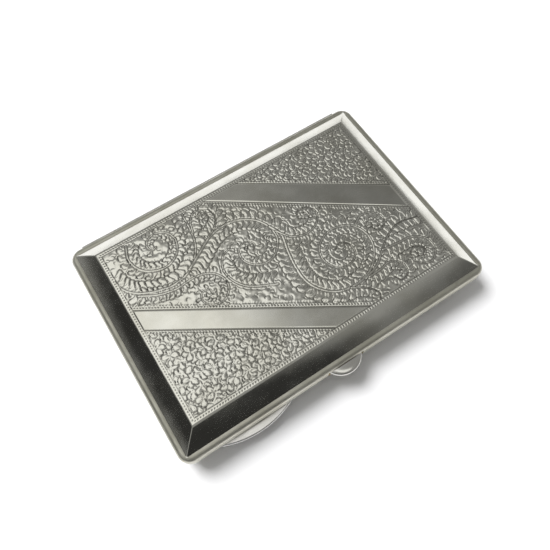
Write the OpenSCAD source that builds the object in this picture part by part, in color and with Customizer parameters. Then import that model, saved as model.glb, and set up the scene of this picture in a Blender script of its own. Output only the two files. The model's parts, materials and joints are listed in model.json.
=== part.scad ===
// Hinged pocket case for business cards, in silver sheet.
// Two equal dished halves close on each other at half height.  The lid turns
// on a long knuckled hinge at the back, and a sprung thumb-piece at the middle
// of the front lets it go.  Each half holds its cards under an elastic strap.
// X runs along the hinge, Y from the front to the hinge, Z up.
// The origin is the middle of the flat that the closed case rests on.

/* [Overall] */
// Length of the closed case, along the hinge
body_l = 98; // [88:1:120]
// Width of the closed case, front to hinge
body_w = 69; // [60:1:85]
// Height of the closed case
body_h = 13; // [12:0.5:17]

/* [Sheet and edges] */
// Thickness of the silver sheet
sheet = 0.7; // [0.5:0.05:0.8]
// Radius of the upright corners, seen from above
corner_r = 3.5; // [3:0.1:5]
// Height of each half's rim, from the seam to the flat ledge
ledge_h = 2.5; // [2.4:0.05:3]
// Distance from the side to the foot of the bevel
ledge_in = 1.85; // [1.7:0.05:3]
// Distance from the side to the flat at the top of the bevel
bevel_in = 7.1; // [5.6:0.1:8]
// Radius of the eased edge between the wall and the ledge
ease_r = 1; // [0.3:0.05:1.2]
// Gap between the two closed rims
seam_gap = 0.16; // [0.08:0.02:0.24]

/* [Frames] */
// Depth of the stiffening frame inside each rim
frame_d = 1.7; // [1.2:0.1:1.75]
// Thickness of the frame in the base
frame_t = 1.2; // [1:0.05:1.3]
// Height of the locating lip above the seam
lip_h = 0.8; // [0.5:0.1:1.1]
// Thickness of the locating lip
lip_t = 0.55; // [0.4:0.05:0.6]
// Clearance between the locating lip and the lid's frame
lip_gap = 0.15; // [0.1:0.05:0.2]
// Length of frame that the lip leaves out beside the hinge
lip_stop = 3; // [2:0.5:6]

/* [Hinge] */
// Outer radius of a hinge knuckle
knuckle_r = 1.1; // [0.95:0.05:1.15]
// Radius of the hinge pin
pin_r = 0.5; // [0.35:0.05:0.55]
// Radial running fit of the pin in the lid's knuckles
pin_fit = 0.04; // [0.02:0.01:0.08]
// Radial clearance between a knuckle and the groove that it lies in
groove_gap = 0.15; // [0.1:0.01:0.2]
// How far the hinge axis stands outside the back wall
axis_out = 0.12; // [0.1:0.01:0.2]
// Gap between neighbouring knuckles
knuckle_gap = 0.15; // [0.1:0.01:0.2]
// Number of knuckles, base and lid in turn
knuckle_n = 7; // [7]
// Length of wall left beside the hinge at each corner
hinge_end = 4.5; // [4:0.1:6]
// Width of the bar that backs the groove
bearer_w = 1.6; // [1.4:0.1:2]

/* [Catch] */
// Length of the thumb-piece along the rim
thumb_l = 10.8; // [8:0.2:13]
// How far the thumb-piece stands out from the wall
thumb_out = 2.9; // [1.6:0.1:3.5]
// How far the straight back of the thumb-piece lies inside the wall
thumb_in = 0.6; // [0.5:0.05:0.7]
// Height of the thumb-piece above the seam
thumb_up = 1.3; // [1:0.1:1.5]
// Depth of the thumb-piece below the seam
thumb_down = 1.0; // [0.8:0.1:1.1]
// Clearance around the thumb-piece in its notch
notch_gap = 0.2; // [0.15:0.05:0.3]
// Distance from the middle of the thumb-piece to the bending line of its spring
spring_reach = 15; // [12:0.5:20]
// Thickness of the spring blade
spring_t = 0.35; // [0.25:0.05:0.4]
// Width of the spring blade, up the wall
spring_w = 1.3; // [1.1:0.1:1.4]
// Length of the riveted root of the spring
root_l = 5; // [4:0.5:6]
// Width of the catch hook along the rim
hook_l = 3.6; // [3:0.2:4]
// Overlap of the hook's nose on the keeper
hook_bite = 0.4; // [0.3:0.05:0.5]
// Gap between the hook's parts and the keeper
hook_gap = 0.15; // [0.1:0.01:0.2]

/* [Straps] */
// Width of the elastic strap
strap_w = 8; // [6:0.5:10]
// Thickness of the elastic strap
strap_t = 0.8; // [0.5:0.05:0.8]
// Length of each clip that grips a strap end
clip_l = 2.4; // [2:0.1:4]

/* [Finger lip] */
// Length of the crescent lip under the front edge
lip_len = 21; // [14:1:26]
// How far the crescent stands out from the wall
lip_out = 2.2; // [1:0.1:2.8]
// Thickness of the crescent
lip_thick = 1.05; // [0.7:0.05:1.2]
// Distance of its middle from the middle of the case
lip_x = 28; // [25:0.5:30]

/* [Hidden] */
$fn = 48;
eps = 0.01;
silver = [0.74, 0.74, 0.70];
gilt = [0.80, 0.66, 0.36];
steel = [0.52, 0.53, 0.55];
elastic = [0.86, 0.80, 0.64];

// The seam lies at half height, and each half is drawn from it outwards
half_h = body_h / 2;
seam_z = half_h;
rim_z = seam_gap / 2;
front_y = -body_w / 2;
back_y = body_w / 2;

// The bevel leans in by this much for each millimetre that it rises
bevel_lean = (bevel_in - ledge_in) / (half_h - ledge_h);
bevel_shift = sheet * sqrt(1 + bevel_lean * bevel_lean);
ease_steps = 4;

// Frames, counted in from the side of the case
frame_in = sheet + frame_t;
lip_in = frame_in - lip_t;
lid_frame_t = frame_t - lip_t - lip_gap;

// Hinge
axis_y = back_y + axis_out;
groove_r = knuckle_r + groove_gap;
hinge_l = body_l - 2 * hinge_end;
knuckle_pitch = (hinge_l + knuckle_gap) / knuckle_n;
knuckle_l = knuckle_pitch - knuckle_gap;
solder = 0.05;
bearer_l = hinge_l + 1;

// Catch, counted in from the front wall
frame_y = front_y + frame_in;
thumb_back_y = front_y + thumb_in;
thumb_deep = thumb_out + thumb_in;
thumb_blunt = 0.4;
thumb_r = (pow(thumb_l / 2 + thumb_blunt, 2) + thumb_deep * thumb_deep) / (2 * thumb_deep);
blade_y = frame_y + 0.05;
blade_z = seam_z - rim_z - 0.1 - spring_w;
stem_w = 4.4;
keeper_y = frame_y - 0.15;
keeper_t = 0.45;
foot_l = 0.65;
foot_y = keeper_y + keeper_t + foot_l;
foot_z = seam_z + 0.35;
foot_t = 0.5;
nose_z = foot_z + foot_t + hook_gap;
nose_t = 0.6;
hook_t = 0.6;
hook_y = foot_y + hook_gap;
rivet_r = 0.35;
rivet_head_r = 0.6;
rivet_head = 0.25;

// Straps
strap_drop = 0.6;
clip_skin = 0.35;
clip_w = strap_w + 1.6;
clip_x = body_l / 2 - frame_in;
strap_l = 2 * clip_x - 1;

// A rectangular plate with round upright corners, exact at every face
module round_plate(l, w, r, h) {
    translate([-l / 2 + r, -w / 2, 0]) cube([l - 2 * r, w, h]);
    translate([-l / 2, -w / 2 + r, 0]) cube([l, w - 2 * r, h]);
    for (sx = [-1, 1])
        for (sy = [-1, 1])
            translate([sx * (l / 2 - r), sy * (w / 2 - r), 0]) cylinder(r = r, h = h);
}

// The same plate set in from the sides of the case by a distance
module inset_plate(d, z0, z1) {
    translate([0, 0, z0]) round_plate(body_l - 2 * d, body_w - 2 * d, corner_r - d, z1 - z0);
}

// A four-sided block whose sides lean in evenly, with mitred corners
module bevel_block(d0, z0, d1, z1) {
    a = body_l / 2 - d0;
    b = body_w / 2 - d0;
    c = body_l / 2 - d1;
    d = body_w / 2 - d1;
    polyhedron(
        points = [[-a, -b, z0], [a, -b, z0], [a, b, z0], [-a, b, z0],
                  [-c, -d, z1], [c, -d, z1], [c, d, z1], [-c, d, z1]],
        faces = [[0, 1, 2, 3], [7, 6, 5, 4], [0, 4, 5, 1],
                 [1, 5, 6, 2], [2, 6, 7, 3], [3, 7, 4, 0]]);
}

// The outside of one half, with its rim down at the seam
module half_outside() {
    inset_plate(0, rim_z, ledge_h - ease_r);
    hull()
        for (k = [0 : ease_steps]) {
            a = 90 * k / ease_steps;
            z = ledge_h - ease_r + ease_r * sin(a);
            inset_plate(ease_r * (1 - cos(a)), z - eps, z, $fn = 32);
        }
    bevel_block(ledge_in - 0.3 * bevel_lean, ledge_h - 0.3, bevel_in, half_h);
}

// The hollow of one half, one sheet thickness inside
module half_inside() {
    top_in = bevel_in + bevel_shift - bevel_lean * sheet;
    low = 0.2;
    inset_plate(sheet, rim_z - 1, ledge_h - sheet);
    bevel_block(ledge_in + bevel_shift - bevel_lean * (sheet + low),
                ledge_h - sheet - low, top_in, half_h - sheet);
}

// The round groove that the knuckles lie in, drawn about the seam
module hinge_groove() {
    translate([-bearer_l / 2, axis_y, 0])
        rotate([0, 90, 0]) cylinder(r = groove_r, h = bearer_l);
}

// The opening in a rim for the thumb-piece, from one depth to another
module thumb_notch(z0, z1, y1) {
    w = thumb_l + 2 * notch_gap + 0.2;
    translate([-w / 2, front_y - 1, z0]) cube([w, y1 - front_y + 1, z1 - z0]);
}

// One dished half: raised from sheet, with its rim down at the seam
module half_shell(notch_h) {
    difference() {
        half_outside();
        half_inside();
        hinge_groove();
        thumb_notch(0, notch_h, front_y + sheet + 0.3);
    }
}

// Puts what is drawn from the seam into the lid or, turned over, into the base
module as_lid() {
    translate([0, 0, seam_z]) children();
}
module as_base() {
    translate([0, 0, seam_z]) mirror([0, 0, 1]) children();
}

module base_shell() {
    color(silver) as_base() half_shell(thumb_down + notch_gap);
}

module lid_shell() {
    color(silver) as_lid() half_shell(thumb_up + notch_gap);
}

// A ring that follows the rim, between two distances from the side
module rim_ring(d0, d1, z0, z1) {
    difference() {
        inset_plate(d0, z0, z1);
        inset_plate(d1, z0 - 1, z1 + 1);
    }
}

// The room that the hinge bearer takes out of a frame
module bearer_room() {
    translate([-bearer_l / 2, back_y - sheet - bearer_w, -5]) cube([bearer_l, 10, 10]);
}

// Stiffening frame of the base, with the lip that locates the lid
module base_frame() {
    lip_end = back_y - frame_in - lip_stop;
    color(gilt)
        difference() {
            union() {
                as_base() rim_ring(sheet, frame_in, rim_z, frame_d);
                difference() {
                    as_lid() rim_ring(lip_in, frame_in, -rim_z - 0.3, lip_h);
                    translate([-body_l, lip_end, seam_z - rim_z]) cube([2 * body_l, body_w, 5]);
                }
            }
            as_base() bearer_room();
            as_base() thumb_notch(-5, thumb_down + notch_gap, frame_y + 1);
            anchor_holes(frame_y - 0.8);
        }
}

// Stiffening frame of the lid, which closes around the lip
module lid_frame() {
    color(gilt) as_lid()
        difference() {
            rim_ring(sheet, sheet + lid_frame_t, rim_z, frame_d);
            bearer_room();
            thumb_notch(0, 5, frame_y + 1);
        }
}

// Bar inside the back wall that carries the hinge groove
module joint_bearer() {
    difference() {
        translate([-bearer_l / 2, back_y - sheet - bearer_w, rim_z])
            cube([bearer_l, bearer_w, frame_d - rim_z]);
        hinge_groove();
    }
}

module base_joint_bearer() {
    color(gilt) as_base() joint_bearer();
}

module lid_joint_bearer() {
    color(gilt) as_lid() joint_bearer();
}

// One hinge tube with the wedge of solder that joins it to its own half
module knuckle(place, bore_r) {
    wedge = groove_r + solder;
    translate([-hinge_l / 2 + place * knuckle_pitch, axis_y, 0])
        difference() {
            union() {
                rotate([0, 90, 0]) cylinder(r = knuckle_r, h = knuckle_l);
                intersection() {
                    rotate([0, 90, 0]) cylinder(r = wedge, h = knuckle_l);
                    translate([0, -2 * wedge, rim_z])
                        cube([knuckle_l, 2 * wedge - axis_out, 2 * wedge]);
                }
            }
            translate([-1, 0, 0]) rotate([0, 90, 0]) cylinder(r = bore_r, h = knuckle_l + 2);
        }
}

module base_knuckle(i) {
    color(silver) as_base() knuckle(2 * (i - 1), pin_r);
}

module lid_knuckle(i) {
    color(silver) as_lid() knuckle(2 * i - 1, pin_r + pin_fit);
}

module hinge_pin() {
    color(steel)
        translate([-hinge_l / 2, axis_y, seam_z])
            rotate([0, 90, 0]) cylinder(r = pin_r, h = hinge_l);
}

// Crescent soldered under the base's ledge, to lift or steady the case by
module finger_lip() {
    r = (lip_len * lip_len / 4 + lip_out * lip_out) / (2 * lip_out);
    top = seam_z - ledge_h;
    color(silver)
        intersection() {
            translate([-lip_x, front_y - lip_out + r, top - lip_thick])
                cylinder(r = r, h = lip_thick, $fn = 128);
            translate([-lip_x - lip_len / 2, front_y - lip_out, top - lip_thick])
                cube([lip_len, lip_out + ledge_in - 0.15, lip_thick]);
        }
}

// Two folded clips, one on each short side of the frame
module strap_clips(depth_in) {
    x = body_l / 2 - depth_in;
    for (s = [-1, 1])
        scale([s, 1, 1])
            difference() {
                translate([clip_x - clip_l, -clip_w / 2, strap_drop - clip_skin])
                    cube([clip_l + x - clip_x, clip_w, strap_t + 2 * clip_skin]);
                translate([clip_x - clip_l - 1, -strap_w / 2 - 0.1, strap_drop])
                    cube([clip_l + 0.5, strap_w + 0.2, strap_t]);
            }
}

// Flat elastic strap along one half, its ends in the clips
module strap() {
    translate([-strap_l / 2, -strap_w / 2, strap_drop]) cube([strap_l, strap_w, strap_t]);
}

module base_strap_clips() {
    color(gilt) as_base() strap_clips(frame_in);
}

module base_strap() {
    color(elastic) as_base() strap();
}

module lid_strap_clips() {
    color(gilt)
        difference() {
            as_lid() strap_clips(sheet + lid_frame_t);
            translate([0, 0, seam_z])
                rim_ring(lip_in - lip_gap, frame_in + lip_gap, -1, lip_h + lip_gap);
        }
}

module lid_strap() {
    color(elastic) as_lid() strap();
}

// Half-moon that the thumb presses, flat at the back and round in front
module thumb_piece() {
    tall = thumb_up + thumb_down;
    soft = 0.35;
    mid_y = front_y - thumb_out + thumb_r;
    color(silver)
        intersection() {
            translate([0, mid_y, seam_z - thumb_down])
                rotate_extrude($fn = 128)
                    polygon([[0, 0], [thumb_r - soft, 0], [thumb_r, soft],
                             [thumb_r, tall - 2.6 * soft], [thumb_r - 0.25 * soft, tall - 1.7 * soft],
                             [thumb_r - soft, tall - soft], [thumb_r - 2.6 * soft, tall - 0.3 * soft],
                             [thumb_r - 4.5 * soft, tall], [0, tall]]);
            translate([-thumb_l / 2, front_y - thumb_out, seam_z - thumb_down])
                cube([thumb_l, thumb_deep, tall]);
        }
}

// Short bar from the thumb-piece through the frame to the spring
module thumb_stem() {
    color(steel)
        translate([-stem_w / 2, thumb_back_y, blade_z + 0.3])
            cube([stem_w, blade_y - thumb_back_y, spring_w - 0.5]);
}

// Flat blade that bends at its root and carries the thumb-piece and the hook
module catch_spring() {
    color(steel)
        difference() {
            translate([-spring_reach, blade_y, blade_z])
                cube([spring_reach + stem_w / 2 + 1, spring_t, spring_w]);
            hook_holes(blade_y - 1);
        }
}

// Riveted root of the same blade
module spring_anchor() {
    color(steel)
        difference() {
            translate([-spring_reach - eps - root_l, frame_y, blade_z])
                cube([root_l - 2 * eps, spring_t, spring_w]);
            anchor_holes(frame_y - 1);
        }
}

module at_anchor_rivets(y) {
    for (k = [0.3, 0.75])
        translate([-spring_reach - k * root_l, y, blade_z + spring_w / 2])
            rotate([-90, 0, 0]) children();
}

module anchor_holes(y) {
    at_anchor_rivets(y) cylinder(r = rivet_r, h = 3);
}

// A rivet with a low round head, its shank along its own axis
module rivet(shank) {
    cylinder(r = rivet_r, h = shank + eps);
    translate([0, 0, shank])
        rotate_extrude($fn = 32)
            polygon([[0, 0], [rivet_head_r, 0], [rivet_head_r * 0.85, rivet_head * 0.6],
                     [rivet_head_r * 0.45, rivet_head], [0, rivet_head]]);
}

module anchor_rivets() {
    color(steel) at_anchor_rivets(frame_y - 0.8) rivet(0.8 + spring_t);
}

// Bracket on the blade: a block, a post and a nose that holds the keeper down
module catch_hook() {
    x = -hook_l / 2;
    back = hook_y + hook_t;
    front = blade_y + spring_t;
    color(steel)
        difference() {
            union() {
                translate([x, front, blade_z]) cube([hook_l, back - front, spring_w - 0.1]);
                translate([x, hook_y, blade_z]) cube([hook_l, hook_t, nose_z + nose_t - blade_z]);
                translate([x, foot_y - hook_bite, nose_z])
                    cube([hook_l, hook_y - foot_y + hook_bite + hook_t, nose_t]);
            }
            hook_holes(blade_y - 1);
        }
}

module at_hook_rivets(y) {
    for (s = [-1, 1])
        translate([s * hook_l / 4, y, blade_z + spring_w / 2]) rotate([-90, 0, 0]) children();
}

module hook_holes(y) {
    at_hook_rivets(y) cylinder(r = rivet_r, h = 6);
}

// Two rivets that join the hook to the blade
module hook_rivets() {
    color(steel) at_hook_rivets(blade_y) rivet(hook_y + hook_t - blade_y);
}

// Bracket under the lid's ledge whose foot the hook's nose holds
module keeper() {
    l = hook_l - 0.6;
    top = seam_z + ledge_h - sheet;
    color(gilt)
        union() {
            translate([-l / 2, keeper_y, foot_z]) cube([l, keeper_t, top - foot_z]);
            translate([-l / 2, keeper_y, foot_z]) cube([l, keeper_t + foot_l, foot_t]);
        }
}

base_shell();
base_frame();
base_joint_bearer();
base_knuckle(1);  // base_knuckle_1
base_knuckle(2);  // base_knuckle_2
base_knuckle(3);  // base_knuckle_3
base_knuckle(4);  // base_knuckle_4
hinge_pin();
finger_lip();
base_strap_clips();
base_strap();
spring_anchor();
anchor_rivets();
thumb_piece();
thumb_stem();
catch_hook();
catch_spring();
hook_rivets();
lid_shell();
lid_frame();
lid_joint_bearer();
lid_knuckle(1);  // lid_knuckle_1
lid_knuckle(2);  // lid_knuckle_2
lid_knuckle(3);  // lid_knuckle_3
lid_strap_clips();
lid_strap();
keeper();
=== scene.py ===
import json
import math
import bmesh
import bpy
import numpy as np
from mathutils import Matrix, Vector


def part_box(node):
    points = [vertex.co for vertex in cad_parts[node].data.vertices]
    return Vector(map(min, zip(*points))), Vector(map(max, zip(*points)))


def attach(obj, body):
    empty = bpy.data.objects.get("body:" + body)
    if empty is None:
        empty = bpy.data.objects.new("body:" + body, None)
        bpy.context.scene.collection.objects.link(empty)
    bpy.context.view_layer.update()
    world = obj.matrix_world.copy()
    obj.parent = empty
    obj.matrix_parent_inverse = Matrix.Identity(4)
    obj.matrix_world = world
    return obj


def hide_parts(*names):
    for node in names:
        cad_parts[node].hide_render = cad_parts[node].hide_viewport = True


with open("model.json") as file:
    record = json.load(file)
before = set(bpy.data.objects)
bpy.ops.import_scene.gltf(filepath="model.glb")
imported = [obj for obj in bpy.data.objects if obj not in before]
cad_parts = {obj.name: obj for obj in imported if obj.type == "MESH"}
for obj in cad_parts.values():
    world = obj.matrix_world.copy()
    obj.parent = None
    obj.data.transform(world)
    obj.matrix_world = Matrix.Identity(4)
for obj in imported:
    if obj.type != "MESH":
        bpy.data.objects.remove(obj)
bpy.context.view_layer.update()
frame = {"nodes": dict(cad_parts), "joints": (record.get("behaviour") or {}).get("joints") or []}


# Base shell: the lower half of the case, raised from one sheet of silver and
# planished smooth.  A low rim carries a round ledge, then a plain bevel leans in
# to the flat that the case lies on.  The inside is gilt.
MM = 0.001
base_low, base_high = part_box("base_shell")
lid_low, lid_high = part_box("lid_shell")
half_x = base_high.x / MM
half_y = base_high.y / MM
seam_z = (base_high.z + lid_low.z) / 2
rim_gap = (lid_low.z - base_high.z) / 2 / MM
half_rise = (lid_high.z - seam_z) / MM
sheet = 0.7
corner_r = 3.5
ledge_r = 1.45
ledge_rise = 2.5
ledge_drop = 1.3
ledge_in = 1.85
bevel_foot = 2.44
bevel_belly = 0.13
panel_in = 7.1
panel_rise = half_rise - 0.42
panel_x = half_x - panel_in
panel_y = half_y - panel_in
axis_y = frame["joints"][0]["pos_m"][1] / MM
knuckle_r = (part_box("lid_knuckle_1")[1].y / MM) - axis_y
channel_gap = 0.15
channel_half = 45.0
notch_half = 5.7
notch_deep = 0.98


def material(name):
    made = bpy.data.materials.new(name)
    made.use_nodes = True
    tree = made.node_tree
    return made, tree, tree.nodes["Principled BSDF"]


def noise(tree, scale, detail=4.0, rough=0.55, stretch=(1.0, 1.0, 1.0), twist=0.0):
    place = tree.nodes.new("ShaderNodeTexCoord")
    mapping = tree.nodes.new("ShaderNodeMapping")
    mapping.inputs["Scale"].default_value = stretch
    mapping.inputs["Rotation"].default_value = (0.0, 0.0, twist)
    cloud = tree.nodes.new("ShaderNodeTexNoise")
    cloud.inputs["Scale"].default_value = scale
    cloud.inputs["Detail"].default_value = detail
    cloud.inputs["Roughness"].default_value = rough
    tree.links.new(place.outputs["Object"], mapping.inputs["Vector"])
    tree.links.new(mapping.outputs["Vector"], cloud.inputs["Vector"])
    return cloud.outputs["Fac"]


def spread(tree, value, low, high, to_low=0.0, to_high=1.0):
    fit = tree.nodes.new("ShaderNodeMapRange")
    fit.interpolation_type = "SMOOTHSTEP"
    fit.inputs["From Min"].default_value = low
    fit.inputs["From Max"].default_value = high
    fit.inputs["To Min"].default_value = to_low
    fit.inputs["To Max"].default_value = to_high
    tree.links.new(value, fit.inputs["Value"])
    return fit.outputs["Result"]


def blend_colour(tree, share, first, second):
    mix = tree.nodes.new("ShaderNodeMix")
    mix.data_type = "RGBA"
    tree.links.new(share, mix.inputs["Factor"])
    for socket, colour in (("A", first), ("B", second)):
        sockets = [s for s in mix.inputs if s.name == socket and s.type == "RGBA"]
        if isinstance(colour, tuple):
            sockets[0].default_value = (*colour, 1.0)
        else:
            tree.links.new(colour, sockets[0])
    return [s for s in mix.outputs if s.type == "RGBA"][0]


def bumps(tree, shader, layers):
    below = None
    for value, height, reach in layers:
        bump = tree.nodes.new("ShaderNodeBump")
        bump.inputs["Strength"].default_value = height
        bump.inputs["Distance"].default_value = reach
        tree.links.new(value, bump.inputs["Height"])
        if below:
            tree.links.new(below, bump.inputs["Normal"])
        below = bump.outputs["Normal"]
    tree.links.new(below, shader.inputs["Normal"])


def old_silver(name, bright, dull, tarnish, smooth=0.13, worn=0.22, engraved=False):
    made, tree, shader = material(name)
    shader.inputs["Metallic"].default_value = 1.0
    patches = spread(tree, noise(tree, 90.0, 5.0), 0.35, 0.68)
    colour = blend_colour(tree, patches, bright, dull)
    haze = spread(tree, noise(tree, 150.0, 4.0, 0.6), 0.35, 0.7, smooth, worn)
    if engraved:
        depth = tree.nodes.new("ShaderNodeAttribute")
        depth.attribute_name = "cut_depth"
        dark = spread(tree, depth.outputs["Fac"], 0.25, 0.95)
        colour = blend_colour(tree, dark, colour, tarnish)
    else:
        spots = spread(tree, noise(tree, 120.0, 4.0, 0.6), 0.6, 0.85)
        colour = blend_colour(tree, spots, colour, tarnish)
    tree.links.new(colour, shader.inputs["Base Color"])
    tree.links.new(haze, shader.inputs["Roughness"])
    rubs = noise(tree, 260.0, 2.0, 0.5, (0.06, 1.0, 1.0), 0.5)
    dents = noise(tree, 70.0, 1.0, 0.3)
    bumps(tree, shader, [(dents, 0.16, 0.0006), (rubs, 0.04, 0.00005)])
    return made


def gilding(name):
    made, tree, shader = material(name)
    shader.inputs["Metallic"].default_value = 1.0
    worn = spread(tree, noise(tree, 110.0, 4.0, 0.55), 0.45, 0.85)
    colour = blend_colour(tree, worn, (0.80, 0.61, 0.32), (0.73, 0.61, 0.40))
    tree.links.new(colour, shader.inputs["Base Color"])
    haze = spread(tree, noise(tree, 300.0), 0.3, 0.7, 0.24, 0.4)
    tree.links.new(haze, shader.inputs["Roughness"])
    brushed = noise(tree, 900.0, 3.0, 0.6, (0.04, 1.0, 1.0))
    bumps(tree, shader, [(noise(tree, 60.0, 1.0), 0.15, 0.0005), (brushed, 0.1, 0.00003)])
    return made


plain_silver = old_silver("plain silver", (0.77, 0.765, 0.70), (0.67, 0.66, 0.59), (0.46, 0.44, 0.37))
gilt_inside = gilding("gilt inside")
# The rim silver is rougher from wear. Its darker colour is painted shade that stands in for the shadowed
# table the rim mirrors.
worn_shaded_rim = old_silver("worn and shaded rim silver", (0.66, 0.65, 0.57), (0.55, 0.54, 0.46), (0.40, 0.38, 0.31),
                      smooth=0.4, worn=0.52)


def edge_loop(cells_x, cells_y):
    """Unit places round a rectangle, counter-clockwise from its low corner."""
    back_x = cells_x[::-1][1:]
    back_y = cells_y[::-1][1:-1]
    xs = np.concatenate([cells_x, np.ones(len(cells_y) - 1), back_x, -np.ones(len(back_y))])
    ys = np.concatenate([-np.ones(len(cells_x)), cells_y[1:], np.ones(len(back_x)), back_y])
    return np.stack([xs, ys], 1)


def round_ring(loop, inset, radius, z):
    """One closed ring of the shell, set in from the sides, with round corners."""
    far_x = half_x - inset
    far_y = half_y - inset
    ring = loop * (far_x, far_y)
    centre = np.sign(ring) * (far_x - radius, far_y - radius)
    out = ring - centre
    corner = (np.abs(ring[:, 0]) > far_x - radius) & (np.abs(ring[:, 1]) > far_y - radius)
    length = np.hypot(out[:, 0], out[:, 1])
    ring[corner] = centre[corner] + out[corner] / length[corner, None] * radius
    return np.column_stack([ring, np.full(len(ring), z)])


def shell_rings(loop, outer):
    """Rings from the panel's edge over the bevel, ledge and rim, or the same inside."""
    wall = 0.0 if outer else sheet
    foot_in = ledge_in + (0.0 if outer else 0.3)
    top_in = panel_in + (0.0 if outer else 0.28)
    foot = bevel_foot - wall
    top = panel_rise - wall
    slope = math.atan2(top - foot, top_in - foot_in)
    rings = []
    for t in np.linspace(0.0, 1.0, 11 if outer else 5):
        belly = bevel_belly * math.sin(math.pi * t) * (1.0 if outer else 0.4)
        inset = top_in + (foot_in - top_in) * t - belly * math.sin(slope)
        rings.append((inset, 0.02 + 0.28 * t, top + (foot - top) * t + belly * math.cos(slope)))
    ease = ledge_r - wall
    rise = ledge_rise - wall
    for a in np.linspace(0.0, 90.0, 9 if outer else 4):
        across = math.sin(math.radians(a))
        up = math.cos(math.radians(a))
        inset = wall + ease * (1.0 - across)
        radius = corner_r - wall - 0.9 * (inset - wall)
        rings.append((inset, radius, rise - ledge_drop * (1.0 - up)))
    lip = 0.1
    rings.append((wall, corner_r - wall, rim_gap + lip))
    rings.append((wall + (lip / 2 if outer else -lip / 2), corner_r - wall, rim_gap))
    return [round_ring(loop, *ring) for ring in rings]


def side_faces(rings, width, inside_out=False):
    """Four-sided faces between closed rings of points, laid one after the other."""
    faces = []
    for r in range(rings - 1):
        for k in range(width):
            here = r * width + k
            after = r * width + (k + 1) % width
            if inside_out:
                faces.append((here, here + width, after + width, after))
            else:
                faces.append((here, after, after + width, here + width))
    return faces


def end_faces(rings, width, inside_out=False):
    """One face across the first ring and one across the last."""
    first = tuple(range(width))
    last = tuple(range((rings - 1) * width, rings * width))
    return [first, last[::-1]] if inside_out else [first[::-1], last]


def new_piece(name, points, faces, *materials):
    mesh = bpy.data.meshes.new(name)
    mesh.from_pydata(points, [], faces)
    mesh.validate()
    for each in materials:
        mesh.materials.append(each)
    piece = bpy.data.objects.new(name, mesh)
    bpy.context.scene.collection.objects.link(piece)
    return piece


def applied(piece):
    """Makes a piece's modifiers part of its mesh."""
    graph = bpy.context.evaluated_depsgraph_get()
    mesh = bpy.data.meshes.new_from_object(piece.evaluated_get(graph))
    piece.modifiers.clear()
    piece.data = mesh
    return piece


def cutter_block(low, high):
    """A block between two corners."""
    places = [(x, y, z) for z in (low[2], high[2]) for y in (low[1], high[1]) for x in (low[0], high[0])]
    faces = [(0, 2, 3, 1), (4, 5, 7, 6), (0, 1, 5, 4), (2, 6, 7, 3), (0, 4, 6, 2), (1, 3, 7, 5)]
    return new_piece("cutter", [Vector(p) * MM for p in places], faces)


def cutter_rod(radius, length, y):
    """A rod along X at the seam."""
    sides = 40
    turn = [2 * math.pi * k / sides for k in range(sides)]
    ends = (-length / 2, length / 2)
    places = [(x, y + radius * math.cos(a), radius * math.sin(a)) for x in ends for a in turn]
    faces = side_faces(2, sides) + end_faces(2, sides)
    return new_piece("cutter", [Vector(p) * MM for p in places], faces)


def dished_half(name, loop, notch_rise):
    """The half without its panel, rim at the seam, with its notch and hinge channel."""
    rings = shell_rings(loop, True) + shell_rings(loop, False)[::-1]
    faces = side_faces(len(rings), len(loop), True) + end_faces(len(rings), len(loop), True)
    piece = new_piece(name, np.concatenate(rings) * MM, faces)
    notch = cutter_block((-notch_half, -half_y - 1, -1), (notch_half, -half_y + notch_deep, notch_rise))
    channel = cutter_rod(knuckle_r + channel_gap, 2 * channel_half, axis_y)
    for cutter in (notch, channel):
        cut = piece.modifiers.new("cut", "BOOLEAN")
        cut.operation = "DIFFERENCE"
        cut.solver = "EXACT"
        cut.object = cutter
        applied(piece)
        bpy.data.objects.remove(cutter)
    return piece


def panel_grid(cells_x, cells_y, rise):
    """The panel as a dense sheet: its points, and faces that count from 0."""
    wide, deep = len(cells_x), len(cells_y)
    x, y = np.meshgrid(cells_x * panel_x, cells_y * panel_y)
    points = np.column_stack([x.ravel(), y.ravel(), rise.ravel()])
    corner = (np.arange(deep - 1)[:, None] * wide + np.arange(wide - 1)[None, :]).ravel()
    faces = np.column_stack([corner, corner + 1, corner + wide + 1, corner + wide])
    return points, faces


def finish_of(face):
    """The material slot of a face: 0 outside, 1 on the gilt inside, 2 on the rim, which is worn and
    darkened as painted shade.
    """
    centre = face.calc_center_median() / MM
    inner_wall = max(abs(centre.x) - (half_x - sheet), abs(centre.y) - (half_y - sheet))
    toward_seam = face.normal.z < -0.2 and centre.z > rim_gap + 0.05
    inward = -0.02 < inner_wall < 0.01 and centre.z < 1.85
    if toward_seam or inward:
        return 1
    inset = min(half_x - abs(centre.x), half_y - abs(centre.y))
    return 2 if inset < ledge_in - 0.04 else 0


def join_panel(piece, points, faces, depth, outer_finish):
    """Takes the plain cap off the half and welds the worked panel in its place."""
    work = bmesh.new()
    work.from_mesh(piece.data)
    layer = work.verts.layers.float.new("cut_depth")
    caps = [f for f in work.faces if f.normal.z > 0.99 and f.calc_area() > 2e-3]
    cap = max(caps, key=lambda f: f.calc_center_median().z)
    rim = list(cap.verts)
    bmesh.ops.delete(work, geom=[cap], context="FACES_ONLY")
    made = [work.verts.new(p * MM) for p in points]
    for v, d in zip(made, depth.ravel()):
        v[layer] = float(d)
    for face in faces:
        work.faces.new([made[k] for k in face])
    edge = [v for v in made if v.is_boundary]
    bmesh.ops.remove_doubles(work, verts=rim + edge, dist=2e-6)
    bmesh.ops.recalc_face_normals(work, faces=work.faces)
    for face in work.faces:
        face.smooth = True
        face.material_index = finish_of(face)
    work.to_mesh(piece.data)
    work.free()
    for finish in (outer_finish, gilt_inside, worn_shaded_rim):
        piece.data.materials.append(finish)
    piece.data.set_sharp_from_angle(angle=math.radians(38))
    return piece


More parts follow.
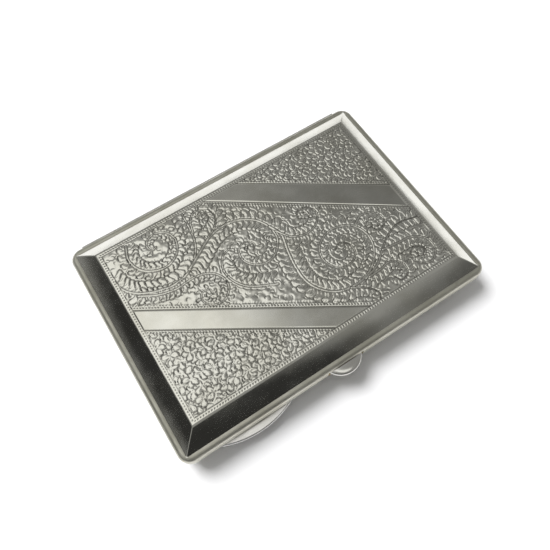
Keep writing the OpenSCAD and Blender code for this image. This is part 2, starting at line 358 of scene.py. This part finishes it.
def crown(x, y, rise, reach):
    """How far the panel swells above its own edge."""
    over_x = 1 - np.exp(-(panel_x - np.abs(x)) / reach)
    over_y = 1 - np.exp(-(panel_y - np.abs(y)) / reach)
    return rise * over_x * over_y


base_cells_x = np.linspace(-1, 1, 121)
base_cells_y = np.linspace(-1, 1, 81)
base_shell = dished_half("base_dish", edge_loop(base_cells_x, base_cells_y), notch_rise=1.2)
grid_x, grid_y = np.meshgrid(base_cells_x * panel_x, base_cells_y * panel_y)
base_rise = panel_rise + crown(grid_x, grid_y, half_rise - panel_rise, 1.2)
points, faces = panel_grid(base_cells_x, base_cells_y, base_rise)
join_panel(base_shell, points, faces, np.zeros_like(base_rise), plain_silver)
base_shell.data.transform(Matrix.Translation((0, 0, seam_z)) @ Matrix.Scale(-1, 4, (0, 0, 1)))
base_shell.data.flip_normals()
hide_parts("base_shell")
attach(base_shell, "base")


# Base frame, hinge bearer and strap clips: strip silver let in to stiffen the
# rim, with a lip that guides the lid home.  All are soldered in and gilt.
gilt_frame = gilding("gilt frame")


def finish_cad(finish, *names):
    """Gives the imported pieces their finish."""
    for name in names:
        node = frame["nodes"][name]
        node.data.materials.clear()
        node.data.materials.append(finish)


finish_cad(gilt_frame, "base_frame", "base_joint_bearer", "base_strap_clips")


# Hinge: seven lengths of drawn silver tube, soldered to base and lid in turn,
# and a hard steel wire pin pressed through them.
tube_silver = old_silver("hinge tube silver", (0.72, 0.715, 0.68), (0.60, 0.59, 0.55), (0.30, 0.28, 0.23),
                         smooth=0.24, worn=0.4)


def spring_steel(name):
    made, tree, shader = material(name)
    shader.inputs["Metallic"].default_value = 1.0
    tone = spread(tree, noise(tree, 500.0, 5.0), 0.3, 0.7)
    colour = blend_colour(tree, tone, (0.46, 0.47, 0.49), (0.58, 0.58, 0.59))
    tree.links.new(colour, shader.inputs["Base Color"])
    haze = spread(tree, noise(tree, 800.0), 0.3, 0.7, 0.28, 0.46)
    tree.links.new(haze, shader.inputs["Roughness"])
    drawn = noise(tree, 1500.0, 3.0, 0.6, (0.05, 1.0, 1.0))
    bumps(tree, shader, [(drawn, 0.25, 0.00003)])
    return made


steel = spring_steel("spring steel")
finish_cad(tube_silver, *("base_knuckle_%d" % k for k in (1, 2, 3, 4)))
finish_cad(tube_silver, *("lid_knuckle_%d" % k for k in (1, 2, 3)))
finish_cad(steel, "hinge_pin")


# Finger lip: a crescent of silver wire, filed round and soldered under the
# front of the base's ledge.
lip_low, lip_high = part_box("finger_lip")
lip_silver = old_silver("lip silver", (0.86, 0.85, 0.83), (0.74, 0.73, 0.70), (0.5, 0.48, 0.42),
                        smooth=0.14, worn=0.26)


def crescent(low, high, name, finish):
    """A half-moon bar: straight along its back, bowed in front, with a round edge."""
    half = (high.x - low.x) / 2 / MM
    middle_x = (high.x + low.x) / 2 / MM
    bow = -half_y - low.y / MM
    back = high.y / MM
    tall = (high.z - low.z) / MM
    middle_z = (high.z + low.z) / 2 / MM
    radius = (half * half + bow * bow) / (2 * bow)
    along = np.linspace(-1, 1, 61)
    section = np.linspace(-math.pi / 2, math.pi / 2, 15)
    rows = []
    for u in along:
        x = middle_x + half * u
        front = -half_y - bow + radius - math.sqrt(radius * radius - (half * u) ** 2)
        edge = min(0.5 * tall, 0.05 + (-half_y + 1.4 - front) * 0.6)
        row = [(x, back, middle_z - tall / 2)]
        for a in section:
            row.append((x, front + edge * (1 - math.cos(a)), middle_z + tall / 2 * math.sin(a)))
        row.append((x, back, middle_z + tall / 2))
        rows.append(row)
    points = [Vector(p) * MM for row in rows for p in row]
    faces = side_faces(len(rows), len(rows[0])) + end_faces(len(rows), len(rows[0]))
    piece = new_piece(name, points, faces, finish)
    piece.data.shade_smooth()
    piece.data.set_sharp_from_angle(angle=math.radians(50))
    return piece


finger_lip = crescent(lip_low, lip_high, "crescent_lip", lip_silver)
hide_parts("finger_lip")
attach(finger_lip, "base")


# Straps: flat woven elastic, cream, with fine cords along it.  The ends are
# gripped in the folded clips of each half.
def elastic_weave(name):
    made, tree, shader = material(name)
    fibres = noise(tree, 1800.0, 3.0, 0.6, (0.25, 1.0, 1.0))
    stain = spread(tree, noise(tree, 70.0, 4.0), 0.35, 0.75)
    colour = blend_colour(tree, stain, (0.66, 0.58, 0.40), (0.50, 0.42, 0.27))
    tree.links.new(colour, shader.inputs["Base Color"])
    shader.inputs["Roughness"].default_value = 0.82
    shader.inputs["Sheen Weight"].default_value = 0.25
    bumps(tree, shader, [(fibres, 0.5, 0.00008)])
    return made


strap_weave = elastic_weave("woven elastic")


def woven_strap(name, node, body):
    """A flat band of ribbed cords, knitted across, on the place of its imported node."""
    low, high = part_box(node)
    half_l = (high.x - low.x) / 2 / MM
    half_w = (high.y - low.y) / 2 / MM - 0.02
    middle_z = (high.z + low.z) / 2 / MM
    half_t = (high.z - low.z) / 2 / MM
    cords = 11
    stations = 373
    across = np.linspace(-1, 1, 67)
    rows = []
    for s, x in enumerate(np.linspace(-half_l, half_l, stations)):
        waist = half_w * (1 - 0.012 * math.sin(x * 0.21) ** 2)
        rib = 0.07 * np.abs(np.cos(across * math.pi * cords / 2)) ** 0.7
        knit = 0.025 * np.cos(2 * math.pi * (s / 4 + np.floor((across + 1) * cords / 2) * 0.5))
        edge = np.sqrt(np.clip(1 - np.abs(across) ** 12, 0, 1))
        top = (half_t - 0.1 + rib + knit) * np.clip(edge, 0.25, 1)
        row = [(x, waist * a, middle_z + h) for a, h in zip(across, top)]
        row += [(x, waist * a, middle_z - h) for a, h in zip(across[::-1], top[::-1])]
        rows.append(row)
    width = len(rows[0])
    points = (np.array(rows) * MM).reshape(-1, 3)
    faces = side_faces(stations, width, True) + end_faces(stations, width, True)
    piece = new_piece(name, points, faces, strap_weave)
    piece.data.shade_smooth()
    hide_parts(node)
    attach(piece, body)
    return piece


woven_strap("base_card_strap", "base_strap", "base")
woven_strap("lid_card_strap", "lid_strap", "lid")


# Catch: the thumb-piece is a cast half-moon, polished to a soft dome, on a stem
# through the front wall.  Behind it a riveted steel blade carries the hook.
thumb_low, thumb_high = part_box("thumb_piece")
thumb_silver = old_silver("thumb silver", (0.80, 0.79, 0.75), (0.70, 0.69, 0.65), (0.35, 0.33, 0.27),
                          smooth=0.12, worn=0.24)


def half_moon():
    """The thumb-piece, built from rings that grow and then close in over the dome."""
    half = (thumb_high.x - thumb_low.x) / 2 / MM
    deep = (thumb_high.y - thumb_low.y) / MM
    back = thumb_high.y / MM
    low = thumb_low.z / MM
    tall = (thumb_high.z - thumb_low.z) / MM
    radius = (half * half + deep * deep) / (2 * deep)
    reach = math.asin(half / radius)
    outline = []
    for a in np.linspace(-reach, reach, 61):
        outline.append((radius * math.sin(a), back - deep + radius - radius * math.cos(a)))
    for x in np.linspace(half, -half, 31)[1:-1]:
        outline.append((x, back))
    outline = np.array(outline)
    middle = np.array([0.0, back - deep * 0.42])
    levels = [(0.55, 0.0), (0.80, 0.0), (0.93, 0.06), (0.99, 0.2), (1.0, 0.36), (1.0, 0.62), (0.985, 0.74),
              (0.94, 0.85), (0.86, 0.92), (0.74, 0.96), (0.55, 0.985), (0.3, 0.997)]
    rings = []
    for grow, up in levels:
        ring = middle + (outline - middle) * grow
        ring[:, 1] = np.minimum(ring[:, 1], back)
        rings.append(np.column_stack([ring, np.full(len(ring), low + tall * up)]))
    count = len(outline)
    points = np.concatenate(rings + [[[*middle, low + tall]], [[*middle, low]]]) * MM
    faces = side_faces(len(rings), count)
    top = len(rings) * count
    last = (len(rings) - 1) * count
    for k in range(count):
        after = (k + 1) % count
        faces.append((last + k, last + after, top))
        faces.append((after, k, top + 1))
    piece = new_piece("thumb_moon", points, faces, thumb_silver)
    piece.data.shade_smooth()
    return piece


thumb_moon = half_moon()
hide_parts("thumb_piece")
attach(thumb_moon, "catch")
finish_cad(steel, "thumb_stem", "catch_hook", "hook_rivets")
finish_cad(steel, "catch_spring", "spring_anchor", "anchor_rivets")


# Lid shell: the upper half, raised like the base and then engraved by hand.  Two
# plain ribbons cross it on the slant, with scrolling acanthus between them and
# ivy leaves in the two corners.  The cuts have darkened with age.
# Two maps of the plate hold how far it is raised and how deep it is cut.
cut_pitch = 0.17
fine_x = np.linspace(-1, 1, 2 * round(panel_x / cut_pitch) + 1)
fine_y = np.linspace(-1, 1, 2 * round(panel_y / cut_pitch) + 1)
plate_x, plate_y = np.meshgrid(fine_x * panel_x, fine_y * panel_y)
raised = np.zeros_like(plate_x)
cut = np.zeros_like(plate_x)
rng = np.random.default_rng(7)


def run_along(line):
    """The length run so far at each point of a line."""
    return np.concatenate([[0], np.cumsum(np.hypot(*np.diff(line, axis=0).T))])


def curve(*corners, step=0.35):
    """A smooth line through a few places, as evenly spaced points."""
    p = np.array(corners, float)
    p = np.vstack([2 * p[0] - p[1], p, 2 * p[-1] - p[-2]])
    line = []
    for k in range(1, len(p) - 2):
        t = np.linspace(0, 1, 24, endpoint=False)[:, None]
        a, b, c, d = p[k - 1], p[k], p[k + 1], p[k + 2]
        bend = 2 * a - 5 * b + 4 * c - d
        twist = 3 * b - a - 3 * c + d
        line.append(0.5 * (2 * b + (c - a) * t + bend * t**2 + twist * t**3))
    line = np.vstack(line + [p[-2:-1]])
    run = run_along(line)
    even = np.linspace(0, run[-1], max(4, int(run[-1] / step)))
    return np.column_stack([np.interp(even, run, line[:, 0]), np.interp(even, run, line[:, 1])])


def around(path, widths, reach):
    """The part of the plate near a line: its slice, the distance and the place along."""
    low = path.min(0) - reach
    high = path.max(0) + reach
    cols = np.searchsorted(plate_x[0], [low[0], high[0]])
    rows = np.searchsorted(plate_y[:, 0], [low[1], high[1]])
    part = (slice(*rows), slice(*cols))
    x, y = plate_x[part], plate_y[part]
    if x.size == 0:
        return part, x, x
    off_x = x[None] - path[:, 0, None, None]
    off_y = y[None] - path[:, 1, None, None]
    away = np.hypot(off_x, off_y) - widths[:, None, None]
    nearest = away.argmin(0)
    return part, np.take_along_axis(away, nearest[None], 0)[0], nearest / (len(path) - 1)


def stroke(path, breadth, depth):
    """One pass of the graver: a cut that swells in the middle of its run."""
    part, away, along = around(path, np.zeros(len(path)), breadth)
    if away.size:
        swell = 0.45 + 0.55 * np.sin(math.pi * np.clip(along, 0.03, 0.97))
        cut[part] = np.maximum(cut[part], depth * swell * np.clip(1 - away / (breadth * swell), 0, 1))


def wander(turn):
    """Points a unit apart that follow a turning heading."""
    return np.column_stack([np.cos(turn), np.sin(turn)]).cumsum(0)


def swell_up(part, away, rise, reach):
    """Lifts the metal inside an outline, soft towards its edge, over older cuts."""
    inside = away < 0
    raised[part] = np.where(inside, rise * (1 - np.exp(away / reach)), raised[part])
    cut[part] = np.where(inside, 0.0, cut[part])


def leaf(x, y, heading, length, breadth, curl, rise=0.085):
    """One lobe: a rounded tongue with a cut outline and two comma cuts inside."""
    steps = 12
    widest = 0.62
    t = np.linspace(0, 1, steps)
    turn = heading + curl * t
    path = (x, y) + wander(turn) * length / steps
    root = 0.3 + 0.7 * (t / widest) ** 0.9
    tip = np.sqrt(1 - 0.7 * ((t - widest) / (1 - widest)) ** 2)
    part, away, along = around(path, breadth * np.where(t < widest, root, tip), breadth + 0.5)
    if not away.size:
        return
    swell_up(part, away, rise, 0.45 * breadth)
    line = (0.05 + 0.09 * along) * np.exp(-((away / 0.13) ** 2))
    cut[part] = np.maximum(cut[part], line)
    side = np.sign(curl) if curl else 1.0
    normal = np.column_stack([-np.sin(turn), np.cos(turn)]) * side
    stroke(path[2:10] + normal[2:10] * breadth * 0.32, 0.16, 0.1)
    stroke(path[5:11] - normal[5:11] * breadth * 0.25, 0.13, 0.06)


def leaves_along(path, side, spacing, size, lean, curl):
    """Lobes down one side of a stem, each curling the way the stem grows."""
    run = run_along(path)
    for place in np.arange(spacing / 2, run[-1], spacing):
        ahead = min(place + 0.4, run[-1])
        x, y = [np.interp(place, run, path[:, axis]) for axis in (0, 1)]
        next_x, next_y = [np.interp(ahead, run, path[:, axis]) for axis in (0, 1)]
        heading = math.atan2(next_y - y, next_x - x)
        grow = size[0] + (size[1] - size[0]) * (place / run[-1])
        wobble = rng.uniform(-0.12, 0.12)
        turn = heading + side * math.radians(lean) + wobble
        leaf(x, y, turn, grow, grow * 0.25, side * math.radians(curl))


def stem(path, broad, thin):
    """The stalk of a scroll: a round band between two cuts."""
    widths = np.linspace(broad, thin, len(path))
    part, away, _ = around(path, widths, broad + 0.5)
    if away.size:
        swell_up(part, away, 0.06, 0.3)
        cut[part] = np.maximum(cut[part], 0.12 * np.exp(-((away / 0.13) ** 2)))


def side_of(line, x, y):
    """Distance in mm above a straight line through two places."""
    (x0, y0), (x1, y1) = line
    long = math.hypot(x1 - x0, y1 - y0)
    return ((x1 - x0) * (y - y0) - (y1 - y0) * (x - x0)) / long


upper_ribbon = (((0.8, 27.7), (41.7, 0.4)), ((-10.9, 28.1), (42.2, -8.8)))
lower_ribbon = (((-41.6, 7.8), (12.8, -26.0)), ((-41.8, 1.3), (3.9, -27.5)))

# Ground of short comma cuts that shows between the scrolls
for gx in np.arange(-42, 43, 1.7):
    for gy in np.arange(-28, 29, 1.7):
        x = gx + rng.uniform(-0.6, 0.6)
        y = gy + rng.uniform(-0.6, 0.6)
        if side_of(upper_ribbon[1], x, y) < 0.5 and side_of(lower_ribbon[0], x, y) > -0.5:
            turn = rng.uniform(0, 2 * math.pi) + rng.choice([-2.4, 2.4]) * np.linspace(0, 1, 9)
            stroke((x, y) + 0.2 * wander(turn), 0.24, 0.13)

# The stalks: seven scrolls, the tall stem on the left, and the small branches
# that fill the gaps between them, in mm from the middle of the panel
outer_stem = curve(
    (-41.8, 20), (-40.4, 14.5), (-37.5, 11), (-33, 8.7), (-28, 7.7), (-23, 8.7), (-19.5, 11.2),
    (-17, 15), (-15.9, 19.5), (-15.3, 27.5))
scroll_a = curve(
    (-33.6, 25.4), (-34.9, 21), (-33.6, 16.8), (-30.6, 14.4), (-26.6, 13.6), (-22.7, 15.6),
    (-20.9, 19.3), (-21.9, 22.7), (-24.8, 24.5), (-27.4, 23.9), (-28.7, 21.9), (-28, 20.2),
    (-26.6, 20.6))
scroll_e = curve(
    (-37.5, 10), (-33, 7.5), (-28, 6.3), (-22.5, 6.6), (-18, 5.4), (-15.6, 2.4), (-15.6, -1),
    (-18.2, -3.5), (-21.6, -3.3), (-23.5, -1), (-22.6, 1.4), (-20.4, 1.3), (-20.2, -0.4))
scroll_b = curve(
    (-22, 9.4), (-17, 12.4), (-12.5, 15), (-8, 16), (-3, 15.3), (1.2, 12.6), (3.5, 8.4), (3.4, 4.3),
    (1.2, 1.2), (-2.2, -0.4), (-6, 0.6), (-8.2, 3.6), (-7.6, 7), (-4.8, 8.2), (-3, 6.4), (-4, 4.8))
left_of_b = curve(
    (-4, -7.5), (-8, -5.6), (-11.8, -3), (-14, 0.8), (-14.2, 4.6), (-12.3, 7.8), (-9.6, 8.9))
scroll_c = curve(
    (3.6, 8.6), (5, 4.6), (3.9, 0), (2.9, -5), (2.7, -10), (4, -14), (7, -17.3), (11, -19),
    (16, -19), (21, -16.8), (24.5, -12.6), (25.2, -8), (23.4, -4), (19.5, -2), (15, -2.3),
    (11.4, -5), (10.5, -9), (12.4, -12.5), (16, -13.4), (19, -11.5), (19.3, -8.5), (17.2, -6.6),
    (14.9, -7.6))
scroll_f = curve(
    (4.3, 6.4), (7, 2.6), (11, 1.0), (15, 2.0), (17.3, 5), (16, 8), (13, 8.4), (12, 6.4),
    (13.4, 5.2))
scroll_g = curve(
    (24.6, -4), (27.4, -2.6), (30.8, -3.6), (32.2, -6.8), (30.3, -9.2), (27.8, -8.2), (28.4, -6.2))
stem_d = curve((17, -19.2), (22, -17.6), (26, -14.6), (30, -12), (35, -10.5), (40.5, -11.6))
scroll_d = curve(
    (26, -14.8), (31, -15.4), (35.3, -16), (38.4, -18.6), (38.4, -22.5), (35.4, -24.8), (32, -23.4),
    (31.4, -20.4), (33.8, -18.9), (35.8, -20.6), (34.6, -22))
small_d = curve(
    (18, -19.4), (22, -19.2), (25.4, -18.8), (28, -21), (27.6, -24), (25, -24.8), (23.8, -23))
top_curl = curve((-15.6, 19), (-14.4, 22.6), (-12, 24.6), (-9.6, 23.6), (-9.6, 21.4), (-11.2, 21))
tall_leaf = curve((-12.5, 15.3), (-9.4, 17.2), (-7.8, 20), (-8.2, 23))
low_branch = curve((12, -19.3), (15.5, -21.6), (17.5, -24.4), (16.4, -26.6))

# Each stem carries lobes on both sides: the side, their spacing, their size at
# the root and at the tip of the stem, how far they lean out and how far they curl
closer = 0.82
larger = (1.3, 1.25)
flatter = 26
tighter = 1.45
for path, side, spacing, size, lean, curl in (
    (outer_stem, -1, 2.6, (2.9, 3.1), 60, 95),
    (outer_stem, 1, 2.5, (3.2, 3.0), 50, 90),
    (scroll_e, -1, 2.3, (2.2, 1.6), 60, 95),
    (scroll_e, 1, 2.1, (2.2, 1.3), 55, 90),
    (left_of_b, 1, 2.3, (3.2, 2.6), 50, -70),
    (left_of_b, -1, 2.2, (3.4, 2.8), 55, 90),
    (scroll_b, -1, 2.2, (3.8, 1.7), 50, 95),
    (scroll_b, 1, 2.4, (3.0, 2.2), 60, 90),
    (scroll_c, 1, 2.3, (3.4, 1.7), 55, 95),
    (scroll_c, -1, 2.4, (3.4, 2.0), 60, 90),
    (scroll_f, 1, 2.0, (2.8, 1.7), 55, 90),
    (scroll_f, -1, 2.1, (2.6, 1.8), 60, 90),
    (scroll_g, 1, 1.9, (2.4, 1.7), 60, 90),
    (scroll_g, -1, 1.9, (2.4, 1.5), 55, 90),
    (stem_d, 1, 2.2, (2.8, 2.2), 45, 60),
    (stem_d, -1, 2.2, (2.6, 2.2), 45, 60),
    (scroll_d, 1, 2.0, (2.6, 1.6), 60, 90),
    (scroll_d, -1, 2.0, (2.8, 1.5), 55, 90),
    (small_d, -1, 1.9, (2.6, 1.6), 55, 90),
    (small_d, 1, 1.9, (2.6, 1.6), 60, 90),
    (scroll_a, 1, 2.35, (3.0, 1.5), 55, 100),
    (scroll_a, -1, 2.6, (2.4, 1.9), 60, 95),
    (top_curl, -1, 1.9, (2.4, 1.6), 55, 90),
    (top_curl, 1, 1.9, (2.2, 1.6), 60, 90),
    (tall_leaf, -1, 1.6, (3.0, 2.4), 35, 40),
    (tall_leaf, 1, 1.6, (3.0, 2.4), 35, 40),
    (low_branch, 1, 1.8, (2.4, 1.8), 50, 80),
    (low_branch, -1, 1.8, (2.4, 1.8), 50, 80),
):
    grown = (size[0] * larger[0], size[1] * larger[1])
    leaves_along(path, side, spacing * closer, grown, lean - flatter, curl * tighter)

# The stems are worked last, over the roots of their lobes
slimmer = 0.8
for path, broad, thin in (
    (outer_stem, 0.5, 0.34), (scroll_e, 0.42, 0.26), (left_of_b, 0.46, 0.28), (scroll_b, 0.55, 0.26),
    (scroll_c, 0.52, 0.26), (scroll_f, 0.4, 0.24), (scroll_g, 0.4, 0.24), (stem_d, 0.42, 0.2),
    (scroll_d, 0.42, 0.24), (small_d, 0.4, 0.22), (scroll_a, 0.5, 0.28), (top_curl, 0.4, 0.22),
    (tall_leaf, 0.35, 0.18), (low_branch, 0.35, 0.18),
):
    stem(path, slimmer * broad, slimmer * thin)

# Ivy in the two corners: sprays of short leaves that overlap at random
for gx in np.arange(-43, 45, 3.3):
    for row, gy in enumerate(np.arange(-29, 30, 2.9)):
        x = gx + 1.65 * (row % 2) + rng.uniform(-0.45, 0.45)
        y = gy + rng.uniform(-0.45, 0.45)
        if side_of(upper_ribbon[0], x, y) > -0.5 or side_of(lower_ribbon[1], x, y) < 0.5:
            way = rng.uniform(0, 2 * math.pi)
            for k in range(4):
                turn = way + k * math.pi / 2 + rng.uniform(-0.2, 0.2)
                leaf(x, y, turn, rng.uniform(1.7, 2.2), 0.85, rng.choice([-0.9, 0.9]), 0.08)
            for k in range(3):
                turn = way + 0.8 + k * 2.1 + rng.choice([-1.3, 1.3]) * np.linspace(0, 1, 10)
                start = (x - 0.9 * math.cos(turn[0]), y - 0.9 * math.sin(turn[0]))
                stroke(start + 0.24 * wander(turn), 0.22, 0.13)

# Hand work leaves the ground slightly uneven
waves = np.fft.fft2(rng.standard_normal(plate_x.shape))
over = np.fft.fftfreq(plate_x.shape[1], cut_pitch)[None, :]
up = np.fft.fftfreq(plate_x.shape[0], cut_pitch)[:, None]
uneven = np.real(np.fft.ifft2(waves * np.exp(-((over**2 + up**2) / 0.5**2))))
raised += 0.024 * uneven / uneven.std()


def groove(away, reach, depth):
    """A cut that follows the line where the distance is nought."""
    cut[:] = np.maximum(cut, depth * np.clip(1 - np.abs(away) / reach, 0, 1))


# The ribbons stay plain.  Each edge has a bright straight cut, then a row of
# short wriggled cuts and a comb of slanting ones.
wriggle = 0.82
for top, bottom in (upper_ribbon, lower_ribbon):
    above = side_of(top, plate_x, plate_y)
    below = side_of(bottom, plate_x, plate_y)
    plain = (above < 0.75) & (below > -0.75)
    raised[plain] = 0.0
    cut[plain] = 0.0
    for line, away in ((top, above), (bottom, -below)):
        (x0, y0), (x1, y1) = line
        long = math.hypot(x1 - x0, y1 - y0)
        run = ((plate_x - x0) * (x1 - x0) + (plate_y - y0) * (y1 - y0)) / long
        groove(away, 0.3, 0.15)
        beat = 0.5 + 0.5 * np.cos(2 * math.pi * (run / wriggle + 0.35 * away))
        groove(away - 0.62, 0.32, 0.16 * beat)
        slant = 0.5 + 0.5 * np.cos(2 * math.pi * (run / wriggle - 0.9 * (away - 1.1)))
        groove(away - 1.35, 0.55, 0.11 * slant)

# Border: a fine line and a row of dots follow the edge of the panel
edge_x = panel_x - np.abs(plate_x)
edge_y = panel_y - np.abs(plate_y)
edge_in = np.minimum(edge_x, edge_y)
border_in = 1.15
dot_pitch = 0.8
margin = edge_in < border_in
raised[margin] *= 0.2
cut[margin] *= 0.15
groove(edge_in - border_in, 0.22, 0.12)
run = np.where(edge_x < edge_y, plate_y, plate_x)
dots = 0.5 + 0.5 * np.cos(2 * math.pi * run / dot_pitch)
groove(edge_in - 0.6, 0.34, 0.15 * dots)
fade = np.clip(edge_in / 0.3, 0, 1)
raised *= fade
cut *= fade

relief_room = 0.07
darkest_cut = 0.15
swell = crown(plate_x, plate_y, half_rise - panel_rise - relief_room, 2.2)
lid_rise = panel_rise + swell + raised - cut
engraved_silver = old_silver("engraved silver", (0.80, 0.795, 0.735), (0.69, 0.68, 0.61),
                             (0.07, 0.065, 0.05), smooth=0.11, worn=0.19, engraved=True)
lid_shell = dished_half("lid_dish", edge_loop(fine_x, fine_y), notch_rise=1.5)
points, faces = panel_grid(fine_x, fine_y, lid_rise)
join_panel(lid_shell, points, faces, np.clip(cut / darkest_cut, 0, 1), engraved_silver)
lid_shell.data.transform(Matrix.Translation((0, 0, seam_z)))
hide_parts("lid_shell")
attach(lid_shell, "lid")


# Lid frame, hinge bearer, strap clips and keeper: the same strip silver as the
# base, soldered inside the lid.
finish_cad(gilt_frame, "lid_frame", "lid_joint_bearer", "lid_strap_clips", "keeper")


# Table, light and camera: the case lies on a matt white table under a broad soft
# key light, in a pale studio with a bright window above and darker walls around.
half_table = 0.3
table_top, tree, shader = material("white table")
shader.inputs["Base Color"].default_value = (0.93, 0.93, 0.945, 1.0)
shader.inputs["Roughness"].default_value = 0.9
table_corners = [(x * half_table, y * half_table, 0) for x, y in ((-1, -1), (1, -1), (1, 1), (-1, 1))]
floor = new_piece("table", table_corners, [(0, 1, 2, 3)], table_top)
floor.location.z = -0.0002

world = bpy.data.worlds.new("studio")
bpy.context.scene.world = world
world.use_nodes = True
sky = world.node_tree
backdrop = sky.nodes["Background"]
way = sky.nodes.new("ShaderNodeTexCoord")


def glow(total, toward, inner, outer, strength):
    """Adds a soft patch of light on the studio walls, given by angles from its middle."""
    dot = sky.nodes.new("ShaderNodeVectorMath")
    dot.operation = "DOT_PRODUCT"
    dot.inputs[1].default_value = Vector(toward).normalized()
    sky.links.new(way.outputs["Generated"], dot.inputs[0])
    edge = math.cos(math.radians(outer))
    full = math.cos(math.radians(inner))
    patch = spread(sky, dot.outputs["Value"], edge, full, 0.0, strength)
    add = sky.nodes.new("ShaderNodeMath")
    add.operation = "ADD"
    sky.links.new(patch, add.inputs[1])
    if isinstance(total, float):
        add.inputs[0].default_value = total
    else:
        sky.links.new(total, add.inputs[0])
    return add.outputs["Value"]


# The window and its bright middle, a ceiling lamp, a dim corner and back wall, a
# lit strip behind the case, and four dark walls that the bevels mirror
light = 0.3
for toward, inner, outer, strength in (
    ((-0.22, 0.3, 0.93), 5, 27, 1.0),
    ((-0.33, 0.14, 0.93), 6, 16, 2.6),
    ((0.1, -0.1, 0.98), 4, 10, 1.3),
    ((0.5, 0.35, 0.79), 5, 20, -0.12),
    ((0.35, 0.9, 0.12), 8, 30, -0.12),
    ((0.3, 0.85, 0.45), 4, 10, 0.45),
    ((-0.05, -0.9, 0.38), 12, 26, -0.31),
    ((-0.5, -0.8, 0.35), 14, 28, -0.31),
    ((-0.88, 0.3, 0.4), 10, 24, -0.27),
    ((0.6, -0.75, 0.3), 6, 20, -0.2),
):
    light = glow(light, toward, inner, outer, strength)
least_light = sky.nodes.new("ShaderNodeMath")
least_light.operation = "MAXIMUM"
least_light.inputs[1].default_value = 0.03
sky.links.new(light, least_light.inputs[0])
warm = blend_colour(sky, least_light.outputs["Value"], (0.0, 0.0, 0.0), (1.0, 0.995, 0.965))
sky.links.new(warm, backdrop.inputs["Color"])
backdrop.inputs["Strength"].default_value = 1.0

key = bpy.data.lights.new("key", "SUN")
key.energy = 3.6
key.angle = math.radians(35)
key_light = bpy.data.objects.new("key", key)
key_light.rotation_euler = Vector((-0.25, 0.55, 0.8)).to_track_quat("Z", "Y").to_euler()
key_light.visible_glossy = False
bpy.context.scene.collection.objects.link(key_light)

# The camera looks down steeply from the front left, so the case lies on the slant
camera = bpy.data.cameras.new("camera")
camera.lens = 35.16
camera.sensor_width = 36
camera.clip_start = 0.01
shot = bpy.data.objects.new("camera", camera)
across = Vector((0.83981, -0.54279, -0.00982))
down = Vector((-0.50146, -0.76867, -0.3971))
ahead = Vector((0.20799, 0.33842, -0.91772))
turn = Matrix((across, -down, -ahead)).transposed().to_4x4()
shot.matrix_world = Matrix.Translation(Vector((-33.86, -54.53, 147.47)) * MM) @ turn
bpy.context.scene.collection.objects.link(shot)
bpy.context.scene.camera = shot
bpy.context.scene.view_settings.view_transform = "Standard"
